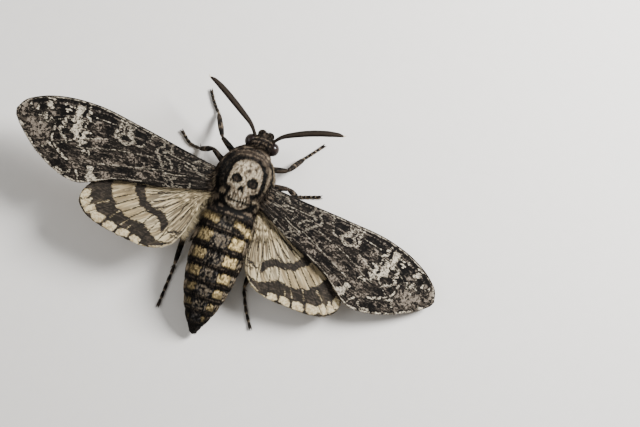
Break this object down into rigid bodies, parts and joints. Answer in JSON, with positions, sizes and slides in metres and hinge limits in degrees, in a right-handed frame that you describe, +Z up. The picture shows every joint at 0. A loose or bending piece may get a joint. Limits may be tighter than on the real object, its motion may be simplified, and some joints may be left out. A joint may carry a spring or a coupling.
{
  "type": "death's head hawkmoth",
  "caption": "Life-size death's head hawkmoth at rest with both pairs of wings spread, a skull mark on its thorax, a banded abdomen, stout feelers and all legs on the ground.",
  "frame": {"origin": "on the floor under the middle of the whole animal's bounding box", "axes": "+Z up from the floor, the head points to -Y, the moth's left wings reach to +X"},
  "size_m": [0.1215, 0.0676, 0.0176],
  "materials": {
    "coat_dark": "dense dark brown hair scales with grey bloom and a cream skull mark",
    "coat_banded": "short flat scales, ochre patches between dark rings and a slate grey middle stripe",
    "scales_dark": "powdery dark brown wing scales mottled with cream wavy bands",
    "scales_pale": "powdery ochre wing scales with two dark bands",
    "horn_dark": "dark brown horn under short flat scales, satin",
    "eye": "glossy near-black compound eye"
  },
  "bodies": {
    "root": {"thorax": "coat_dark", "collar": "coat_dark", "head": "coat_dark", "palp_l": "coat_dark", "palp_r": "coat_dark", "abdomen": "coat_banded", "forewing_l": "scales_dark", "forewing_r": "scales_dark", "hindwing_l": "scales_pale", "hindwing_r": "scales_pale", "antenna_l": "horn_dark", "antenna_r": "horn_dark", "proboscis": "horn_dark", "eye_l": "eye", "eye_r": "eye", "leg_fore_l": "horn_dark", "leg_fore_r": "horn_dark", "leg_mid_l": "horn_dark", "leg_mid_r": "horn_dark", "leg_hind_l": "horn_dark", "leg_hind_r": "horn_dark"}
  },
  "joints": []
}
